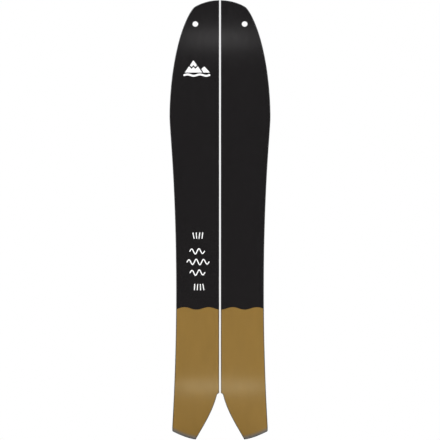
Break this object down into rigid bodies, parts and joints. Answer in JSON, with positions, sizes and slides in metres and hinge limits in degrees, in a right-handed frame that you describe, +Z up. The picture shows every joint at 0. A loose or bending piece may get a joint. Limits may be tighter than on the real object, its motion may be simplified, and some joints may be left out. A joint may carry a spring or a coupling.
{
  "type": "splitboard",
  "caption": "Swallowtail snowboard split lengthwise into two ski halves, with black and gold running bases, steel edges, and swinging hooks and clips that join the halves.",
  "frame": {"origin": "midway between the two nose holes, in the middle of the nose's thickness, where two wall pegs carry the hanging board", "axes": "+Z up along the board towards the nose, +X across the board, -Y the way the running base faces, +Y the way the topsheet faces"},
  "size_m": [0.3308, 0.0571, 1.44],
  "materials": {
    "base_black": "sintered black running base, waxed",
    "base_gold": "sintered gold running base, waxed",
    "edge_steel": "ground and polished",
    "glass_laminate": "cured glass and resin",
    "core_wood": "planed, strips along the board",
    "sidewall": "satin, ground flush",
    "spacer": "matte",
    "topsheet": "fine matte texture",
    "grommet": "satin",
    "insert_steel": "plain turned",
    "hook_metal": "dark satin coating",
    "screw_steel": "plain turned",
    "clip_plate": "satin anodised"
  },
  "bodies": {
    "left_half": {"left_base_black": "base_black", "left_base_gold": "base_gold", "left_steel_edge_outer": "edge_steel", "left_steel_edge_inner": "edge_steel", "left_sidewall_outer": "sidewall", "left_sidewall_inner": "sidewall", "left_wood_core": "core_wood", "left_nose_spacer": "spacer", "left_tail_spacer": "spacer", "left_lower_laminate": "glass_laminate", "left_upper_laminate": "glass_laminate", "left_topsheet": "topsheet", "left_nose_grommet": "grommet", "left_inserts_rear": "insert_steel", "left_inserts_front": "insert_steel", "left_inserts_touring": "insert_steel", "rear_hook_left_pivot_screw": "screw_steel", "rear_hook_right_catch_screw": "screw_steel", "front_hook_left_pivot_screw": "screw_steel", "front_hook_right_catch_screw": "screw_steel", "tail_clip_base_plate": "clip_plate", "tail_clip_pivot_screw": "screw_steel", "tail_clip_screw_left_lower": "screw_steel", "tail_clip_screw_left_upper": "screw_steel", "nose_clip_base_plate": "clip_plate", "nose_clip_pivot_screw": "screw_steel", "nose_clip_screw_left_lower": "screw_steel", "nose_clip_screw_left_upper": "screw_steel"},
    "right_half": {"right_base_black": "base_black", "right_base_gold": "base_gold", "right_steel_edge_outer": "edge_steel", "right_steel_edge_inner": "edge_steel", "right_sidewall_outer": "sidewall", "right_sidewall_inner": "sidewall", "right_wood_core": "core_wood", "right_nose_spacer": "spacer", "right_tail_spacer": "spacer", "right_lower_laminate": "glass_laminate", "right_upper_laminate": "glass_laminate", "right_topsheet": "topsheet", "right_nose_grommet": "grommet", "right_inserts_rear": "insert_steel", "right_inserts_front": "insert_steel", "right_inserts_touring": "insert_steel", "rear_hook_left_catch_screw": "screw_steel", "rear_hook_right_pivot_screw": "screw_steel", "front_hook_left_catch_screw": "screw_steel", "front_hook_right_pivot_screw": "screw_steel", "tail_clip_catch_plate": "clip_plate", "tail_clip_screw_right_lower": "screw_steel", "tail_clip_screw_right_upper": "screw_steel", "nose_clip_catch_plate": "clip_plate", "nose_clip_screw_right_lower": "screw_steel", "nose_clip_screw_right_upper": "screw_steel"},
    "rear_hook_left": {"rear_hook_left": "hook_metal"},
    "rear_hook_right": {"rear_hook_right": "hook_metal"},
    "front_hook_left": {"front_hook_left": "hook_metal"},
    "front_hook_right": {"front_hook_right": "hook_metal"},
    "tail_clip_latch": {"tail_clip_latch": "hook_metal"},
    "nose_clip_latch": {"nose_clip_latch": "hook_metal"}
  },
  "joints": [
    {"name": "halves_slide", "type": "slide", "parent": "left_half", "child": "right_half", "axis": [-1, 0, 0], "range_m": [-0.06, 0.00435]},
    {"name": "rear_hook_left_swing", "type": "hinge", "parent": "left_half", "child": "rear_hook_left", "pos_m": [-0.018, -0.02691, -0.90995], "axis": [0, 1, 0], "range_deg": [0, 90]},
    {"name": "rear_hook_right_swing", "type": "hinge", "parent": "right_half", "child": "rear_hook_right", "pos_m": [0.018, -0.02691, -0.93395], "axis": [0, 1, 0], "range_deg": [0, 90]},
    {"name": "front_hook_left_swing", "type": "hinge", "parent": "left_half", "child": "front_hook_left", "pos_m": [-0.018, -0.02741, -0.40995], "axis": [0, 1, 0.0097], "range_deg": [0, 90]},
    {"name": "front_hook_right_swing", "type": "hinge", "parent": "right_half", "child": "front_hook_right", "pos_m": [0.018, -0.02718, -0.43395], "axis": [0, 1, 0.0097], "range_deg": [0, 90]},
    {"name": "tail_clip_latch_swing", "type": "hinge", "parent": "left_half", "child": "tail_clip_latch", "pos_m": [-0.018, -0.027, -1.14974], "axis": [0, 1, -0.0032], "range_deg": [0, 90]},
    {"name": "nose_clip_latch_swing", "type": "hinge", "parent": "left_half", "child": "nose_clip_latch", "pos_m": [-0.018, -0.02111, -0.17014], "axis": [0, 0.9963, -0.0865], "range_deg": [0, 90]}
  ]
}
